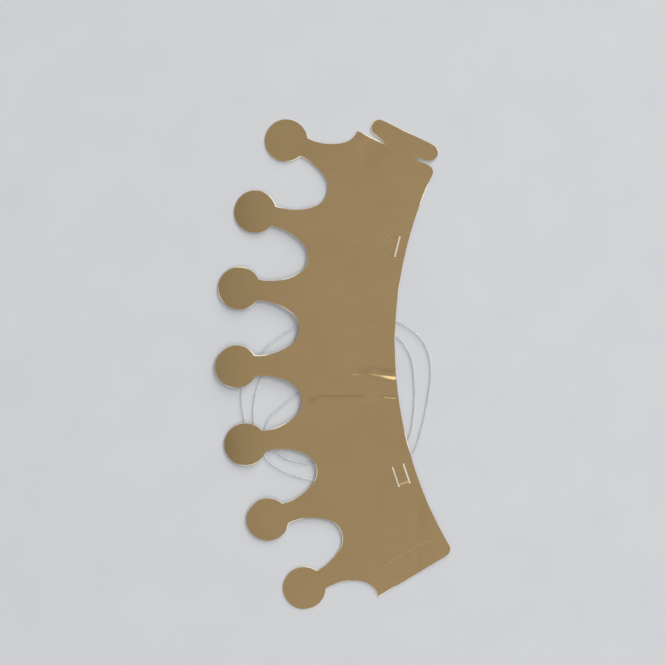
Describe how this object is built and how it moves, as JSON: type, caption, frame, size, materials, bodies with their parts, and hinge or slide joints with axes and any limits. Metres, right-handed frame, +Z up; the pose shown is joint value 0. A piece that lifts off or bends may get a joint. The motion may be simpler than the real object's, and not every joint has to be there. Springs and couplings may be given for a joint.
{
  "type": "paper crown",
  "caption": "Flat die-cut party crown of gold foil card with ball-tipped points, a closing tab and slit, cuts for an elastic, and a loose length of clear chin elastic.",
  "frame": {"origin": "on the table, under the middle of the box around the lying card", "axes": "+X along the band from the slit end to the tab end, +Y from the lower edge to the points, +Z up out of the foil face"},
  "size_m": [0.2606, 0.1228, 0.0024],
  "materials": {
    "foil_card": "satin gold foil on white card",
    "clear_elastic": "clear gloss"
  },
  "bodies": {
    "root": {"crown_card": "foil_card", "elastic_cord": "clear_elastic"}
  },
  "joints": []
}
